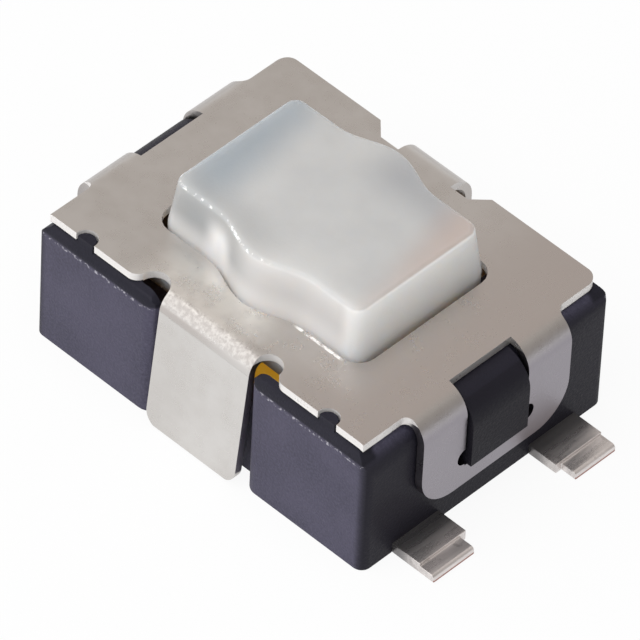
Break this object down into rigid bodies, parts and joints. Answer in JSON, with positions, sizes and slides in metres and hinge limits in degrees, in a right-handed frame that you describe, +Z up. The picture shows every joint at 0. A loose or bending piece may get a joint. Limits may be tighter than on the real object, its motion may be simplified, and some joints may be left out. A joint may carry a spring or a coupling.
{
  "type": "tactile push button switch",
  "caption": "Low surface-mount tactile push button switch with a bulged translucent button in a clipped-on bent metal cover over a moulded base with two flat leads.",
  "frame": {"origin": "middle of the base's underside, on the board's surface", "axes": "+X along the base, towards the leads; +Y towards the narrow rear tab; +Z up, out of the button's top"},
  "size_m": [0.0047, 0.0032, 0.002],
  "materials": {
    "base_plastic": "matt moulded, near black with a blue cast",
    "tinned_copper": "tin plated, with bare copper at the sheared tips",
    "spring_steel": "bright spring steel",
    "amber_film": "clear amber film",
    "milky_plastic": "milky translucent, soft sheen",
    "cover_steel": "satin, warm grey"
  },
  "bodies": {
    "housing": {"base_housing": "base_plastic", "rim_contact": "tinned_copper", "centre_contact": "tinned_copper", "snap_dome": "spring_steel", "sealing_film": "amber_film", "metal_cover": "cover_steel"},
    "button": {"push_button": "milky_plastic"}
  },
  "joints": [
    {"name": "button_press", "type": "slide", "parent": "housing", "child": "button", "axis": [0, 0, -1], "range_m": [0, 0.0002], "stiffness_N_per_m": 8000, "deforming": ["snap_dome", "sealing_film"]}
  ]
}
